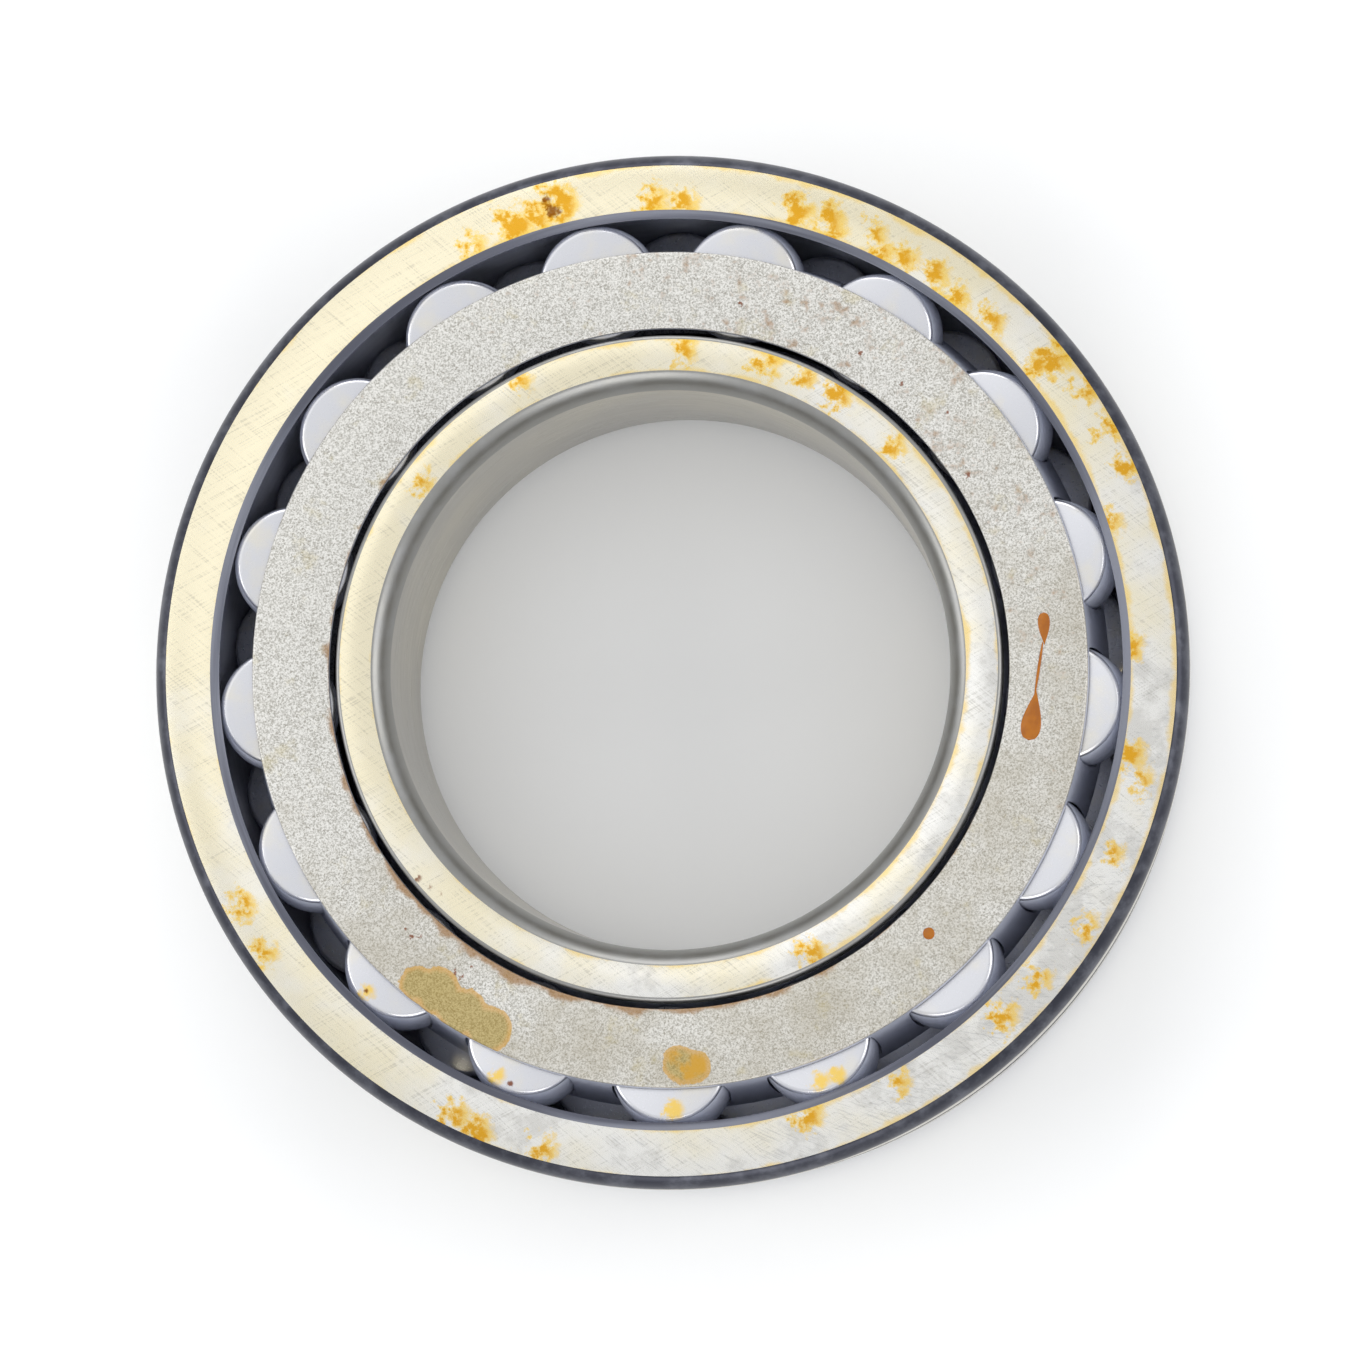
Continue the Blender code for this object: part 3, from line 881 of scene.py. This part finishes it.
class BEARING_OT_rollers(Operator):
    """Model one barrel roller and place a copy of it on each roller's axis"""

    bl_idname = "bearing.rollers"
    bl_label = "Rollers"

    def execute(self, context):
        rows = context.scene.bearing_rows
        roller = turned("barrel_roller", roller_outline(rows), 96, closed=False)
        finish = context.scene.bearing_finish
        give_materials(
            roller,
            roller_steel(finish),
            # Painted light: the barrel's pale tone lifts it out of the shade in the gap
            (
                gap_steel_with_painted_light(finish, "ground_barrel_steel", finish.barrel, DOWN, 0.15),
                lambda r, z: z < rows.roller_length / 2 - rows.roller_corner,
            ),
        )
        smooth(roller)
        for row in ("front", "back"):
            for body in row_bodies(row):
                name = body.replace("roller", "barrel_roller")
                stand_for(copy_placed(roller, name, upright(body)), body, body)
        bpy.data.objects.remove(roller)
        return {"FINISHED"}


class BEARING_OT_oil(Operator):
    """Model the standing drops of oil on the front cage's flange"""

    bl_idname = "bearing.oil"
    bl_label = "Oil drops"

    def execute(self, context):
        oil = standing_oil(context.scene.bearing_finish)
        drops = []
        for x, y, heading, across, along, sharpness in OIL_DROPS:
            outline = [
                (math.sqrt(t) * (1 - t) ** sharpness, along * t)
                for t in spaced(0, 1, 24)
            ]
            widest = max(radius for radius, _ in outline)
            outline = [(radius * across / 2 / widest, height) for radius, height in outline]
            outline = [(0, 0), *outline[1:-1], (0, along)]
            drop = turned("oil_drop", outline, 24, closed=False)
            flat = Matrix.Diagonal((1, DROP_HEIGHT / (across / 2), 1, 1))
            lay = Matrix.Rotation(-math.pi / 2, 4, "X")
            aim = Matrix.Rotation(math.radians(heading), 4, "Z")
            place = Matrix.Translation((x * MM, y * MM, FLANGE_TOP))
            drop.data.transform(place @ aim @ lay @ flat)
            drops.append(drop)
        drop = join(drops, "oil_drops_front")
        give_materials(drop, oil)
        smooth(drop, 60)
        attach(drop, "cage_front")
        return {"FINISHED"}


class BEARING_OT_stage(Operator):
    """Set up the floor, the soft lights and the camera"""

    bl_idname = "bearing.stage"
    bl_label = "Stage"

    def execute(self, context):
        deselect()
        bpy.ops.mesh.primitive_plane_add(size=4.0, location=(0, 0, -HALF_WIDTH - 0.05 * MM))
        floor = context.active_object
        floor.name = "floor"
        made, tree, shader, _ = new_material("white_paper")
        feed(tree, shader, {"Base Color": linear("#FCFCFB"), "Roughness": 0.9})
        floor.data.materials.append(made)

        world = bpy.data.worlds.new("soft_box")
        world.use_nodes = True
        world.node_tree.nodes["Background"].inputs["Color"].default_value = linear("#F4F6FA")
        world.node_tree.nodes["Background"].inputs["Strength"].default_value = 0.86
        context.scene.world = world
        # Each light's name, place, side length in metres, and brightness against the paper's
        for name, spot, size, brightness in (
            ("key_softbox", (-0.45, 0.4, 1.1), 0.8, 0.34),
            ("top_softbox", (0.0, 0.0, 1.3), 1.2, 0.12),
            ("left_fill", (-1.1, -0.1, 0.6), 0.7, 2.3),
            ("right_fill", (1.1, 0.1, 0.6), 0.7, 2.3),
            ("back_fill", (-0.1, 1.1, 0.6), 0.7, 2.3),
            ("front_fill", (0.1, -1.1, 0.6), 0.7, 2.3),
        ):
            bpy.ops.object.light_add(type="AREA", location=spot)
            light = context.active_object
            light.name = name
            light.data.size = size
            light.data.energy = brightness * math.pi * size**2
            light.rotation_euler = (-Vector(spot)).to_track_quat("-Z", "Y").to_euler()

        back = Vector((0.086, -0.086, 0.9925)).normalized()
        target = Vector((1.6 * MM, -1.65 * MM, HALF_WIDTH))
        distance = 0.55
        frame_width = 156.55 * MM
        across = Vector((0, 1, 0)).cross(back).normalized()
        turn = Matrix((across, back.cross(across), back)).transposed()
        bpy.ops.object.camera_add(location=target + back * distance)
        camera = context.active_object
        camera.rotation_euler = turn.to_euler()
        camera.data.lens = camera.data.sensor_width * distance / frame_width
        camera.data.clip_start = 0.01
        context.scene.camera = camera
        context.scene.view_settings.view_transform = "Standard"
        return {"FINISHED"}


class BEARING_PT_panel(Panel):
    """The bearing's operators, in the order they run"""

    bl_idname = "BEARING_PT_panel"
    bl_label = "Spherical roller bearing"
    bl_space_type = "VIEW_3D"
    bl_region_type = "UI"
    bl_category = "Bearing"

    def draw(self, context):
        """List a button for each operator."""
        for operator in OPERATORS:
            self.layout.operator(operator.bl_idname)


OPERATORS = (
    BEARING_OT_outer_ring,
    BEARING_OT_inner_ring,
    BEARING_OT_guide_ring,
    BEARING_OT_cages,
    BEARING_OT_rollers,
    BEARING_OT_oil,
    BEARING_OT_stage,
)
CLASSES = (BearingRings, BearingRows, BearingFinish, *OPERATORS, BEARING_PT_panel)


def register():
    """Make the classes and the scene's settings known to Blender."""
    for cls in CLASSES:
        bpy.utils.register_class(cls)
    bpy.types.Scene.bearing_rings = PointerProperty(type=BearingRings)
    bpy.types.Scene.bearing_rows = PointerProperty(type=BearingRows)
    bpy.types.Scene.bearing_finish = PointerProperty(type=BearingFinish)


def unregister():
    """Take the classes and the scene's settings out again."""
    del bpy.types.Scene.bearing_finish
    del bpy.types.Scene.bearing_rows
    del bpy.types.Scene.bearing_rings
    for cls in reversed(CLASSES):
        bpy.utils.unregister_class(cls)


def main():
    for obj in list(bpy.data.objects):
        if obj.type in {"LIGHT", "CAMERA"}:
            bpy.data.objects.remove(obj)
    register()
    bpy.ops.bearing.outer_ring()
    bpy.ops.bearing.inner_ring()
    bpy.ops.bearing.guide_ring()
    bpy.ops.bearing.cages()
    bpy.ops.bearing.rollers()
    bpy.ops.bearing.oil()
    bpy.ops.bearing.stage()


if __name__ == "__main__":
    main()
